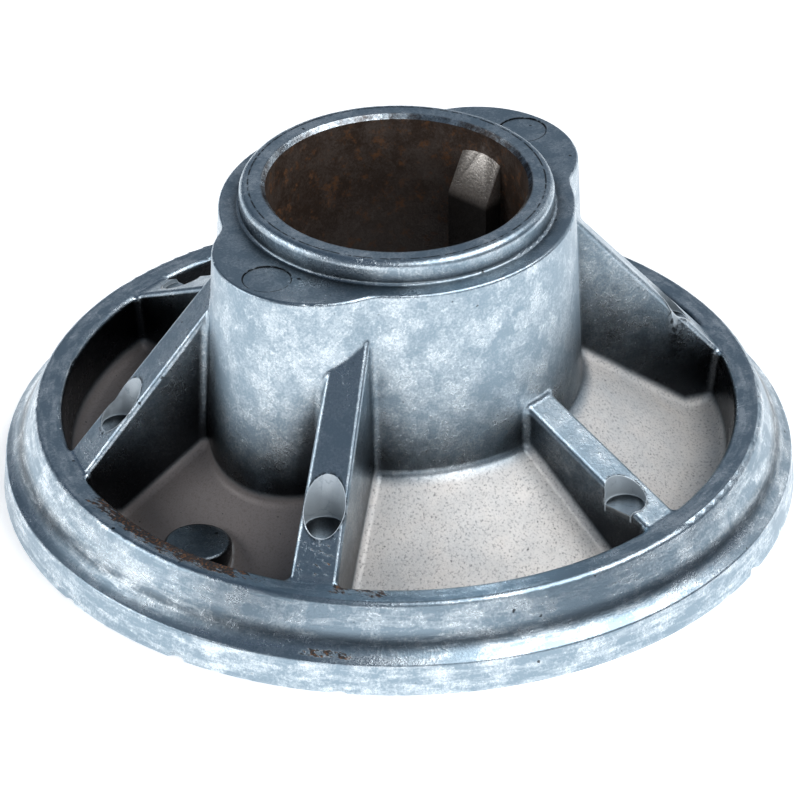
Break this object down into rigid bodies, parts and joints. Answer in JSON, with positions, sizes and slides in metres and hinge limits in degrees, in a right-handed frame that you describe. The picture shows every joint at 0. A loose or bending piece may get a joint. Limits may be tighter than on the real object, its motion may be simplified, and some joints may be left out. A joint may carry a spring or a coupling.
{
  "type": "mower blade support",
  "caption": "Die-cast hub that carries a mower blade on a keyed crankshaft: round flange with a raised ring, conical web, radial ribs and a lobed hub with a collar.",
  "frame": {"origin": "on the shaft's axis, in the plane of the blade's seat", "axes": "+Z along the shaft's axis up to the engine, X through the two lobes of the hub with the key of the bore at +X"},
  "size_m": [0.0767, 0.0766, 0.0325],
  "materials": {
    "cast_aluminium": "die-cast, weathered, with rust stains in the bore"
  },
  "bodies": {
    "root": {"blade_support": "cast_aluminium"}
  },
  "joints": []
}
